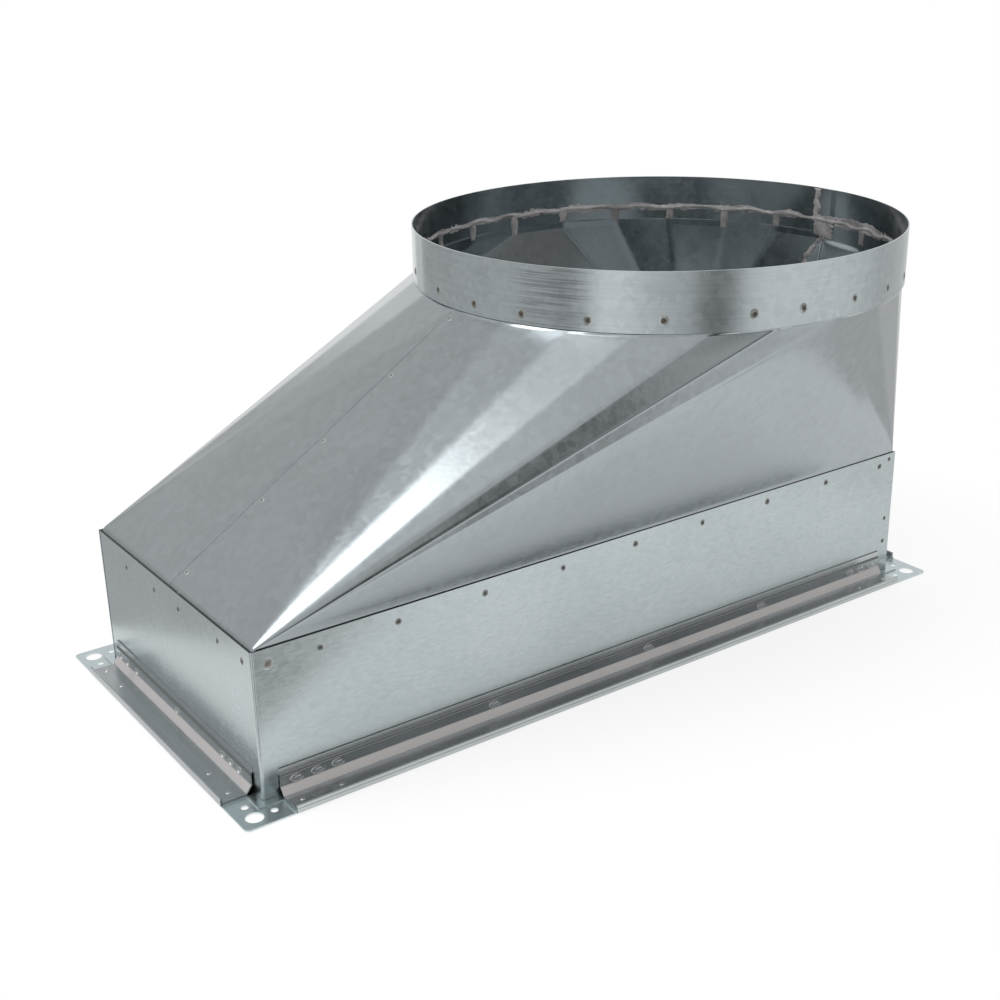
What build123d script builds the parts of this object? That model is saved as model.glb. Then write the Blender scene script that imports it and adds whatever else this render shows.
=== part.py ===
from build123d import *
import os
from math import cos, degrees, radians, sin, sqrt

# Duct transition piece: a flanged rectangular neck that changes to an offset round collar.
# Millimetres, +Z up. The origin is the middle of the flange bolt pattern, on the mating plane.
# The round collar stands towards +X, so the -X end of the folded body slopes.

# Sheet stock and the gap between sheets that are pressed together
sheet = 0.75
press_gap = 0.1

# Rectangular neck
neck_inside_length = 480.0
neck_inside_width = 201.5
neck_height = 88.0
neck_bend_radius = 1.6
neck_lap = 12.0

# Folded body between the neck and the collar
overall_height = 248.0
collar_overhang = 28.25
folds_per_corner = 6
fold_clearance = 0.3
flap_depth = 16.0
flap_corner_relief = 15.0
flap_seam_relief = 6.0
seam_lap = 10.0
seam_joggle = 4.0
seam_head_gap = 3.0
tab_height = 12.0
tab_notch = 4.5

# Round collar
collar_diameter = 314.0
collar_height = 35.0
collar_lap = 12.0
collar_joggle = 4.0

# Flange rails, each roll formed from one strip
flange_reach = 19.6
rail_sheet = 0.7
rail_height = 17.5
rail_top_strip = 3.8
rail_kink = 0.8
rail_web_top = 6.6
rail_web_foot = 4.4
rail_lip_height = 5.1
rail_inner_leaf = 9.0
rail_bend_radius = 1.0
rail_setback = 10.0

# Flange corner plates, blanked and pressed
corner_plate = 0.9
corner_arm_length = 48.0
corner_margin = 4.0
corner_step = 1.0
corner_tip_radius = 3.0
corner_edge_inset = 0.4
corner_gap = 0.2
bolt_offset = 10.0
bolt_hole_diameter = 10.0
pin_hole_diameter = 4.2
pin_hole_spacing = 11.4

# Joint sealant
bead_height = 3.2
bead_width = 1.7
bead_chamfer = 1.2
finger_depth = 1.1
seam_bead_width = 3.0
seam_bead_depth = 0.8
seam_bead_top_gap = 3.0

# Sizes that follow
neck_length = neck_inside_length + 2 * sheet
neck_width = neck_inside_width + 2 * sheet
neck_foot = rail_sheet + press_gap
fold_level = neck_height + fold_clearance
collar_radius = collar_diameter / 2
collar_offset = neck_length / 2 + collar_overhang - collar_radius
collar_base = overall_height - collar_height
collar_bore = collar_radius - sheet
tab_radius = collar_bore - press_gap
tab_top = collar_base + tab_height
foot_x = neck_inside_length / 2 - press_gap
foot_y = neck_inside_width / 2 - press_gap
seam_drop = sheet + press_gap
seam_room = collar_lap / 2 + collar_joggle + 2 * press_gap
fold_angle = 90 / folds_per_corner
rail_floor = rail_sheet + corner_plate + 2 * press_gap
collar_axis = Vector(collar_offset, 0, 0)


def arc_angle(length):
    """Angle that a length takes up round the inside of the collar."""
    return degrees(length / collar_bore)


def round_point(angle, radius, level):
    """Point at an angle and a radius about the collar's axis."""
    return collar_axis + Vector(radius * cos(radians(angle)), radius * sin(radians(angle)), level)


def arc_band(outer, inner, start, sweep, level):
    """Flat face between two arcs about the collar's axis."""
    plane = Plane(origin=(collar_offset, 0, level))
    end = start + sweep
    edges = [
        Edge.make_circle(outer, plane, start, end),
        Edge.make_line(round_point(end, outer, level), round_point(end, inner, level)),
        Edge.make_circle(inner, plane, start, end),
        Edge.make_line(round_point(start, inner, level), round_point(start, outer, level)),
    ]
    return Face(Wire(edges))


def level_thickness(a, b, c):
    """Thickness of the sheet measured level, for a facet through three points."""
    normal = (b - a).cross(c - a).normalized()
    return sheet / sqrt(normal.X ** 2 + normal.Y ** 2)


def between_levels(low, high):
    """Slab that trims a piece to the space between two levels."""
    span = neck_length + collar_diameter
    return Pos(0, 0, (low + high) / 2) * Box(2 * span, 2 * span, high - low)


# Folded body halves
def fan_shell():
    """Front half of the folded body: flat ends, and fans of facets from two neck corners to the collar."""
    angles = [180 + fold_angle * step for step in range(2 * folds_per_corner + 1)]
    middle = folds_per_corner
    last = 2 * folds_per_corner
    feet = [
        Vector(-foot_x, 0, fold_level),
        Vector(-foot_x, -foot_y, fold_level),
        Vector(foot_x, -foot_y, fold_level),
        Vector(foot_x, 0, fold_level),
    ]
    rim = [round_point(angle, tab_radius, collar_base) for angle in angles]

    # The inner skin is the outer one moved in by the sheet's thickness, measured level on each facet
    left_run = level_thickness(feet[0], feet[1], rim[0])
    front_run = level_thickness(feet[1], feet[2], rim[middle])
    right_run = level_thickness(feet[2], feet[3], rim[last])
    facet_runs = [level_thickness(feet[1], rim[step], rim[step + 1]) for step in range(middle)]
    facet_runs += [level_thickness(feet[2], rim[step], rim[step + 1]) for step in range(middle, last)]
    rim_runs = [(before + after) / 2 for before, after in zip(facet_runs, facet_runs[1:])]
    rim_runs = [left_run] + rim_runs + [right_run]
    rim_runs[middle] = front_run
    inner_rim = [round_point(angle, tab_radius - run, collar_base) for angle, run in zip(angles, rim_runs)]
    inner_feet = [
        feet[0] + Vector(left_run, 0),
        feet[1] + Vector(left_run, front_run),
        feet[2] + Vector(-right_run, front_run),
        feet[3] + Vector(-right_run, 0),
    ]

    def skin(foot, top):
        triangles = [(foot[0], foot[1], top[0])]
        triangles += [(foot[1], foot[2], top[middle])]
        triangles += [(foot[2], foot[3], top[last])]
        triangles += [(foot[1], top[step], top[step + 1]) for step in range(middle)]
        triangles += [(foot[2], top[step], top[step + 1]) for step in range(middle, last)]
        return triangles

    facets = skin(feet, rim) + skin(inner_feet, inner_rim)
    facets += [(feet[i], feet[i + 1], inner_feet[i + 1], inner_feet[i]) for i in range(3)]
    facets += [(rim[i], rim[i + 1], inner_rim[i + 1], inner_rim[i]) for i in range(last)]
    facets += [(feet[0], rim[0], inner_rim[0], inner_feet[0])]
    facets += [(feet[3], rim[last], inner_rim[last], inner_feet[3])]
    return Solid(Shell([Face(Wire.make_polygon(points)) for points in facets]))


def collar_tab(start, room_before, room_after):
    """Tab that starts on the straight fold of one facet and is beaten round to the collar's wall."""
    first = round_point(start, tab_radius, collar_base)
    second = round_point(start + fold_angle, tab_radius, collar_base)
    along = (second - first).normalized()
    inward = Vector(-along.Y, along.X, 0) * sheet
    near = first + along * room_before
    far = second - along * room_after
    foot = Face(Wire.make_polygon([near, far, far + inward, near + inward]))
    sweep = fold_angle - arc_angle(room_before + room_after)
    top = arc_band(tab_radius, tab_radius - sheet, start + arc_angle(room_before), sweep, tab_top)
    return loft([foot, top], ruled=True)


def neck_flaps():
    """Flaps below the fold line that slip inside the neck, one to a side, clear of the corners and seams."""
    level = fold_level - flap_depth / 2
    front = Pos(0, -foot_y + sheet / 2, level) * Box(2 * (foot_x - flap_corner_relief), sheet, flap_depth)
    end_length = foot_y - flap_corner_relief - flap_seam_relief
    end_y = -(flap_seam_relief + end_length / 2)
    left = Pos(-foot_x + sheet / 2, end_y, level) * Box(sheet, end_length, flap_depth)
    right = Pos(foot_x - sheet / 2, end_y, level) * Box(sheet, end_length, flap_depth)
    return [front, left, right]


def body_half():
    """Front half of the body, with a plain edge at both seams."""
    room = tab_notch / 2
    last = 2 * folds_per_corner - 1
    tabs = [collar_tab(180 + fold_angle * step, room, room) for step in range(last)]
    tabs += [collar_tab(180 + fold_angle * last, room, seam_room)]
    return Part() + fan_shell() + neck_flaps() + tabs


def seam_plane(side):
    """Plane at the foot of an end seam: its X runs along Y, and its Z runs up the seam."""
    foot = Vector(side * foot_x, 0, fold_level)
    head = round_point(0 if side > 0 else 180, tab_radius, collar_base)
    return Plane(origin=foot, x_dir=(0, 1, 0), z_dir=head - foot)


def flat_end(side):
    """Prism through the flat triangle at an end, which tapers from the neck to the head of the seam."""
    plane = seam_plane(side)
    head = round_point(0 if side > 0 else 180, tab_radius, collar_base)
    seam_length = (head - plane.origin).length
    triangle = [(-foot_y, 0), (foot_y, 0), (0, seam_length - seam_head_gap)]
    face_plane = Plane(origin=plane.origin, x_dir=plane.x_dir, z_dir=plane.y_dir * -1)
    return extrude(face_plane * make_face(Polyline(*triangle, close=True)), seam_lap, both=True)


def along_seam(side, points):
    """Strip with a constant section that runs up an end seam and ends within the flat triangle there."""
    plane = seam_plane(side)
    section = plane * make_face(Polyline(*points, close=True))
    strip = extrude(section, overall_height * 2, dir=plane.z_dir, both=True)
    return strip & between_levels(fold_level, collar_base) & flat_end(side)


def lapped(half, side, toward):
    """Half whose edge at one seam steps in by one sheet and runs on under the other half."""
    reach = neck_length + collar_diameter
    edge = Pos(side * reach / 2, -toward * seam_joggle / 2, 0) * Box(reach, seam_joggle, 2 * overall_height)
    plain_edge = edge & between_levels(fold_level, collar_base) & flat_end(side)
    points = [
        (-toward * seam_joggle, 0),
        (-toward * seam_joggle, side * sheet),
        (0, side * (sheet + seam_drop)),
        (toward * seam_lap, side * (sheet + seam_drop)),
        (toward * seam_lap, side * seam_drop),
        (0, side * seam_drop),
    ]
    return half - plain_edge + along_seam(side, points)


# Round collar
def round_collar():
    """Rolled strip whose end steps inward and laps behind its start."""
    lap = arc_angle(collar_lap)
    step = arc_angle(collar_joggle)
    under = collar_bore - press_gap
    start = -lap / 2
    band = arc_band(collar_radius, collar_bore, start, 360 - step, collar_base)
    tongue = arc_band(under, under - sheet, start, lap, collar_base)
    joggle = Face(Wire.make_polygon([
        round_point(start - step, collar_radius, collar_base),
        round_point(start, under, collar_base),
        round_point(start, under - sheet, collar_base),
        round_point(start - step, collar_bore, collar_base),
    ]))
    return extrude(Sketch() + band + joggle + tongue, collar_height)


# Neck panels
def neck_panel():
    """Front and left walls folded from one sheet, with a flange that laps inside the rear wall."""
    x = neck_length / 2
    y = neck_width / 2
    lap_y = y - sheet - press_gap
    skin = FilletPolyline((x, -y), (-x, -y), (-x, lap_y), (-x + neck_lap, lap_y), radius=neck_bend_radius)
    section = make_face(offset(skin, amount=sheet, side=Side.RIGHT))
    walls = Pos(0, 0, neck_foot) * extrude(section, neck_height - neck_foot)
    lap_foot = rail_inner_leaf + rail_sheet
    notch = Pos(-x + sheet + press_gap, lap_y, 0) * Box(
        neck_lap, 2 * neck_bend_radius, 2 * lap_foot, align=(Align.MIN, Align.CENTER, Align.CENTER)
    )
    return walls - notch


# Flange frame
def rail_section():
    """Section of a rail: outward distance from the neck wall, and height above the mating plane."""
    wall = press_gap
    leg = wall + rail_kink
    strip_foot = rail_height - rail_top_strip
    inside = -(sheet + press_gap + rail_sheet)
    hem = flange_reach - rail_sheet
    face_skin = FilletPolyline(
        (inside, rail_inner_leaf),
        (inside, 0),
        (flange_reach, 0),
        (flange_reach, rail_lip_height),
        radius=rail_bend_radius,
    )
    back_skin = FilletPolyline(
        (wall, rail_height),
        (wall, strip_foot),
        (leg, strip_foot - rail_kink),
        (leg, rail_web_top),
        (rail_web_foot, rail_floor),
        (hem, rail_floor),
        (hem, rail_lip_height),
        radius=rail_bend_radius,
    )
    face = make_face(offset(face_skin, amount=rail_sheet, side=Side.LEFT))
    back = make_face(offset(back_skin, amount=rail_sheet, side=Side.LEFT))
    section = face + back
    lip = section.vertices().filter_by_position(Axis.X, hem - rail_sheet, flange_reach)
    return fillet(lip.group_by(Axis.Y)[-1], rail_sheet * 0.9)


def flange_rail(wall_distance, wall_length):
    """Rail along a wall that faces -Y."""
    plane = Plane(origin=(0, -wall_distance, 0), x_dir=(0, -1, 0), z_dir=(-1, 0, 0))
    return extrude(plane * rail_section(), wall_length / 2 - rail_setback, both=True)


def flange_corner():
    """Corner plate for the -X -Y corner of the neck: a flat face, with raised arms that slide into rails."""
    diagonal = Plane(origin=(0, 0, 0), z_dir=(1, -1, 0))
    edge = flange_reach - corner_edge_inset
    shoulder = rail_setback - corner_gap
    arm_edge = flange_reach - rail_sheet - corner_gap
    arm_inner = rail_web_foot + corner_gap
    margin_edge = corner_margin + corner_step
    arm_start = shoulder - corner_step
    low_left = (Align.MIN, Align.MIN)
    flat = Pos(-edge, -edge) * Rectangle(edge - corner_margin, edge + shoulder, align=low_left)
    arm_length = corner_arm_length - arm_start
    arm = Pos(-arm_edge, arm_start) * Rectangle(arm_edge - arm_inner, arm_length, align=low_left)
    margin = Pos(-margin_edge, -margin_edge) * Rectangle(
        margin_edge - corner_gap, margin_edge + shoulder, align=low_left
    )
    flat += mirror(flat, about=diagonal)
    raised = arm + margin
    raised += mirror(raised, about=diagonal)
    tip = flat.vertices().sort_by(lambda v: v.X + v.Y)[0]
    flat = fillet(tip, corner_tip_radius)
    rise = rail_sheet + press_gap
    plate = extrude(flat, corner_plate)
    plate += Pos(0, 0, rise) * extrude(raised, corner_plate)
    plate += extrude(flat & raised, corner_plate + rise)
    bolt = Pos(-bolt_offset, -bolt_offset, 0)
    plate -= bolt * Cylinder(bolt_hole_diameter / 2, 2 * neck_height)
    for pin in (Pos(pin_hole_spacing, 0, 0), Pos(0, pin_hole_spacing, 0)):
        plate -= bolt * pin * Cylinder(pin_hole_diameter / 2, 2 * neck_height)
    return plate


# Joint sealant
def collar_bead():
    """Bead laid on the tab ends against the collar, with a finger down each notch between two tabs."""
    lap_end = arc_angle(collar_lap / 2 + press_gap)
    joggle_end = arc_angle(collar_lap / 2 + collar_joggle + press_gap)
    outer = collar_bore - press_gap / 2
    band = arc_band(outer, outer - bead_width, lap_end, 360 - lap_end - joggle_end, tab_top)
    bead = extrude(band, bead_height)
    crest = bead.edges().filter_by(GeomType.CIRCLE).group_by(Axis.Z)[-1].sort_by(SortBy.LENGTH)[0]
    bead = chamfer(crest, bead_chamfer)
    width = arc_angle(tab_notch - 2 * press_gap)
    foot = collar_base + press_gap
    for step in range(1, 4 * folds_per_corner):
        start = fold_angle * step - width / 2
        finger = arc_band(tab_radius, tab_radius - finger_depth, start, width, foot)
        bead += extrude(finger, tab_top + bead_height / 2 - foot)

    # A pad fills the wide notch at the collar's lap, and bridges the bead across the lap
    pad_outer = collar_bore - sheet - 2 * press_gap
    pad_half = arc_angle(seam_room - press_gap)
    bridge_half = arc_angle(seam_room + bead_width)
    pad = arc_band(pad_outer, pad_outer - finger_depth, -pad_half, 2 * pad_half, foot)
    bridge = arc_band(pad_outer, pad_outer - finger_depth, -bridge_half, 2 * bridge_half, tab_top)
    return bead + extrude(pad, tab_top + bead_height / 2 - foot) + extrude(bridge, bead_height)


def collar_seam_bead():
    """Line of sealant up the inner edge of the collar's lap."""
    start = arc_angle(collar_lap / 2 + press_gap)
    outer = collar_bore - press_gap / 2
    low = tab_top + bead_height + press_gap
    high = overall_height - seam_bead_top_gap
    band = arc_band(outer, outer - sheet - seam_bead_depth, start, arc_angle(seam_bead_width), low)
    return extrude(band, high - low)


def body_seam_bead(side, toward):
    """Line of sealant down the inner edge of a body seam's lap."""
    inner = side * (sheet + press_gap / 2)
    start = toward * (seam_lap + press_gap)
    points = [
        (start, inner),
        (start, inner + side * (sheet + seam_bead_depth)),
        (start + toward * seam_bead_width, inner),
    ]
    return along_seam(side, points)


half = body_half()
panel = neck_panel()
corner = Pos(-neck_length / 2, -neck_width / 2, 0) * flange_corner()
long_rail = flange_rail(neck_width / 2, neck_length)
short_rail = flange_rail(neck_length / 2, neck_width)
left_to_right = Plane.YZ
front_to_rear = Plane.XZ

nodes = {
    "transition_half_front": lapped(half, 1, 1),
    "transition_half_rear": lapped(mirror(half, about=front_to_rear), -1, -1),
    "round_collar": round_collar(),
    "neck_panel_front_left": panel,
    "neck_panel_rear_right": Rot(Z=180) * panel,
    "flange_rail_front": long_rail,
    "flange_rail_rear": Rot(Z=180) * long_rail,
    "flange_rail_left": Rot(Z=-90) * short_rail,
    "flange_rail_right": Rot(Z=90) * short_rail,
    "flange_corner_front_left": corner,
    "flange_corner_front_right": mirror(corner, about=left_to_right),
    "flange_corner_rear_left": mirror(corner, about=front_to_rear),
    "flange_corner_rear_right": Rot(Z=180) * corner,
    "collar_sealant": collar_bead(),
    "collar_seam_sealant": collar_seam_bead(),
    "body_seam_sealant_right": body_seam_bead(1, 1),
    "body_seam_sealant_left": body_seam_bead(-1, -1),
}

os.makedirs("parts", exist_ok=True)
for name, piece in nodes.items():
    export_step(piece, f"parts/{name}.step")
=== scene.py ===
import bmesh
import bpy
import numpy as np
from mathutils import Matrix, Vector


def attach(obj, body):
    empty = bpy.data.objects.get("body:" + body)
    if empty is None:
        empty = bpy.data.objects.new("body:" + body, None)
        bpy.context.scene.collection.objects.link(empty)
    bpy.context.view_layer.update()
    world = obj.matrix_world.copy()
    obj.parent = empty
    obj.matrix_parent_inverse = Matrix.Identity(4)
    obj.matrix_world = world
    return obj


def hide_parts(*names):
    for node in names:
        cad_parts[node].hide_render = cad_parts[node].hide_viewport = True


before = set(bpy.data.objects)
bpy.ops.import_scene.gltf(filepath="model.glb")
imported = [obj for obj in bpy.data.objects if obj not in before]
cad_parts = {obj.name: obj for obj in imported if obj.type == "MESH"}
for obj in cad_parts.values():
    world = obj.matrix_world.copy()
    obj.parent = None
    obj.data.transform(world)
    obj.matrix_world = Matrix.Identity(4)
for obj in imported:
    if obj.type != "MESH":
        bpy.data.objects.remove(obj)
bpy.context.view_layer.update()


# Neck panels: two L-shaped panels of hot-dip galvanised sheet, sheared to size and folded,
# which lap at two corners. The sheet is rolled lengthways, so its skin has fine dashes that way,
# and the edge sheared along the top is bare, dull steel.
class Shade:
    """One socket in a material's nodes. Arithmetic on it adds Math nodes."""

    def __init__(self, tree, socket=None):
        self.tree = tree
        self.socket = socket

    def node(self, kind, settings=None, inputs=None, output=0):
        """Adds a node, sets it, fills its sockets with numbers or links, and gives one of its outputs."""
        made = self.tree.nodes.new(kind)
        for key, value in (settings or {}).items():
            setattr(made, key, value)
        for key, value in (inputs or {}).items():
            if isinstance(value, Shade):
                self.tree.links.new(value.socket, made.inputs[key])
            else:
                made.inputs[key].default_value = value
        return Shade(self.tree, made.outputs[output])

    def math(self, operation, first, second=0.0):
        return self.node("ShaderNodeMath", {"operation": operation}, {0: first, 1: second})

    def __add__(self, other):
        return self.math("ADD", self, other)

    def __radd__(self, other):
        return self.math("ADD", other, self)

    def __sub__(self, other):
        return self.math("SUBTRACT", self, other)

    def __rsub__(self, other):
        return self.math("SUBTRACT", other, self)

    def __mul__(self, other):
        return self.math("MULTIPLY", self, other)

    def __rmul__(self, other):
        return self.math("MULTIPLY", other, self)

    def __pow__(self, other):
        return self.math("POWER", self, other)

    def __abs__(self):
        return self.math("ABSOLUTE", self)

    def ramp(self, low, high):
        """Rises smoothly from 0 to 1 as the value goes from low to high."""
        inputs = {"Value": self, "From Min": low, "From Max": high}
        return self.node("ShaderNodeMapRange", {"interpolation_type": "SMOOTHSTEP"}, inputs)

    def mix(self, first, second):
        """Colour that goes from first to second as the value goes from 0 to 1."""
        return self.node("ShaderNodeMix", {"data_type": "RGBA"}, {0: self, 6: first, 7: second}, 2)


def finish_named(name):
    """New material, with its node tree, its main shader and a first handle on its nodes."""
    material = bpy.data.materials.new(name)
    material.use_nodes = True
    tree = material.node_tree
    return material, tree, tree.nodes["Principled BSDF"], Shade(tree)


def noise(place, scale, detail=2.0, stretch=(1.0, 1.0, 1.0)):
    """Cloudy value about a half, with so many features a metre, drawn out along an axis of small stretch."""
    spread = place.node("ShaderNodeMapping", {}, {"Vector": place, "Scale": stretch})
    return place.node("ShaderNodeTexNoise", {}, {"Vector": spread, "Scale": scale, "Detail": detail})


def zinc_sheet(name, dark, light, rolled, dashes, spangle, gloss, dents,
               grain=0.000012, cloud=0.9, flaky=0.35, cut_edge=None):
    """Galvanised skin: haze, rolled dashes and spangle flakes tint it and change its gloss, and slow dents
    and fine grain bend its shine. Its sheared edge, at the height cut_edge, is bare steel."""
    bare_steel = (0.05, 0.052, 0.055, 1.0)
    edge_start, edge_full = 0.0002, 0.00005
    haze_gloss, flake_gloss, dash_gloss = 0.12, 0.17, 0.05
    material, tree, shader, start = finish_named(name)
    place = start.node("ShaderNodeTexCoord", output="Object")
    haze = noise(place, 16.0, 4.0)
    strokes = noise(place, 1.0, 2.0, rolled)
    flakes = start.node("ShaderNodeTexVoronoi", {}, {"Vector": place, "Scale": 1.0 / spangle}, "Color")
    tone = 0.5 + (haze - 0.5) * cloud + (strokes - 0.5) * dashes + (flakes - 0.5) * flaky
    colour = tone.ramp(0.0, 1.0).mix(dark, light)
    if cut_edge is not None:
        up = start.node("ShaderNodeSeparateXYZ", {}, {0: place}, "Z")
        bare = up.ramp(cut_edge - edge_start, cut_edge - edge_full)
        colour = bare.mix(colour, bare_steel)
    tree.links.new(colour.socket, shader.inputs["Base Color"])
    shader.inputs["Metallic"].default_value = 1.0
    rough = gloss + (haze - 0.5) * haze_gloss + (flakes - 0.5) * flake_gloss * flaky
    rough = rough + (strokes - 0.5) * dash_gloss
    tree.links.new(rough.socket, shader.inputs["Roughness"])
    waves = noise(place, 9.0, 1.0)
    height = waves * dents + strokes * grain
    bump = start.node("ShaderNodeBump", {}, {"Strength": 1.0, "Distance": 1.0, "Height": height}, "Normal")
    tree.links.new(bump.socket, shader.inputs["Normal"])
    return material


neck_finish = zinc_sheet(
    "neck_zinc",
    dark=(0.43, 0.48, 0.49, 1.0),
    light=(0.57, 0.63, 0.645, 1.0),
    rolled=(200.0, 200.0, 780.0),
    dashes=0.6,
    spangle=0.0035,
    gloss=0.25,
    dents=0.00018,
    grain=0.000011,
    cloud=0.55,
    flaky=0.16,
    cut_edge=0.088,
)
for panel in ("neck_panel_front_left", "neck_panel_rear_right"):
    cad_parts[panel].data.materials[0] = neck_finish


# Folded body: two halves of the same sheet, each bent along fans of folds that spread from the neck's
# corners to the round collar. Each half has a skirt that slips inside the neck, tabs that stand inside
# the collar, and one end seam that steps in and runs on under the other half.
def mesh_of(name, grids, finish, sharp=30.0):
    """Mesh of several grids of points, each point joined to its neighbours both ways by four-sided faces."""
    points, faces, count = [], [], 0
    for grid in grids:
        rows, columns = grid.shape[:2]
        index = count + np.arange(rows * columns).reshape(rows, columns)
        corners = (index[:-1, :-1], index[:-1, 1:], index[1:, 1:], index[1:, :-1])
        faces.append(np.stack(corners, axis=-1).reshape(-1, 4))
        points.append(grid.reshape(-1, 3))
        count += rows * columns
    return mesh_from(name, np.concatenate(points), np.concatenate(faces), finish, sharp)


def mesh_from(name, points, faces, finish, sharp=30.0):
    """Object at the origin from points and faces: doubled points merge, edges over the angle are sharp."""
    mesh = bpy.data.meshes.new(name)
    mesh.from_pydata(points.tolist(), [], faces.tolist())
    shell = bmesh.new()
    shell.from_mesh(mesh)
    bmesh.ops.remove_doubles(shell, verts=shell.verts, dist=2e-6)
    bmesh.ops.dissolve_degenerate(shell, dist=1e-7, edges=shell.edges)
    shell.to_mesh(mesh)
    shell.free()
    mesh.shade_smooth()
    mesh.set_sharp_from_angle(angle=np.radians(sharp))
    mesh.materials.append(finish)
    piece = bpy.data.objects.new(name, mesh)
    bpy.context.scene.collection.objects.link(piece)
    return piece


def round_corners(path, setback, samples):
    """Path with each inner corner softened: it leaves the edge a setback before the corner and joins the
    next edge a setback after it, along a parabola. The setback is at most about half of an edge, or
    about all of an end edge."""
    most_of_edge = 0.48
    tiny = 1e-9
    corner = path[..., 1:-1, :]
    back = path[..., :-2, :] - corner
    on = path[..., 2:, :] - corner
    back_length = np.maximum(np.linalg.norm(back, axis=-1, keepdims=True), tiny)
    on_length = np.maximum(np.linalg.norm(on, axis=-1, keepdims=True), tiny)
    back_room = back_length.copy()
    back_room[..., 0, :] *= 2
    on_room = on_length.copy()
    on_room[..., -1, :] *= 2
    reach = np.minimum(setback, most_of_edge * np.minimum(back_room, on_room))
    first = (corner + back / back_length * reach)[..., None, :]
    last = (corner + on / on_length * reach)[..., None, :]
    share = np.linspace(0, 1, samples)[:, None]
    middle = 2 * share * (1 - share) * corner[..., None, :]
    curve = (1 - share) ** 2 * first + middle + share ** 2 * last
    curve = curve.reshape(*curve.shape[:-3], -1, 3)
    return np.concatenate([path[..., :1, :], curve, path[..., -1:, :]], axis=-2)


def sheet_of(grid, thickness):
    """Closed sheet from its outer face: the inner face lies a thickness in along the normals, and strips
    join the rims."""
    across = np.gradient(grid, axis=1)
    along = np.gradient(grid, axis=0)
    normal = np.cross(across, along)
    normal /= np.linalg.norm(normal, axis=-1, keepdims=True)
    inner = grid - normal * thickness
    return [
        grid,
        inner[:, ::-1],
        np.stack([inner[0], grid[0]]),
        np.stack([grid[-1], inner[-1]]),
        np.stack([grid[:, 0], inner[:, 0]]),
        np.stack([inner[:, -1], grid[:, -1]]),
    ]


body_sheet = 0.00075
sheet_gap = 0.0001
collar_centre = np.array([0.112, 0.0, 0.0])
fold_foot = np.array([0.2399, 0.10065, 0.0883])
fold_head = 0.213
tab_wall = 0.15615
folds = np.radians(180 + 15.0 * np.arange(13))


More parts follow.
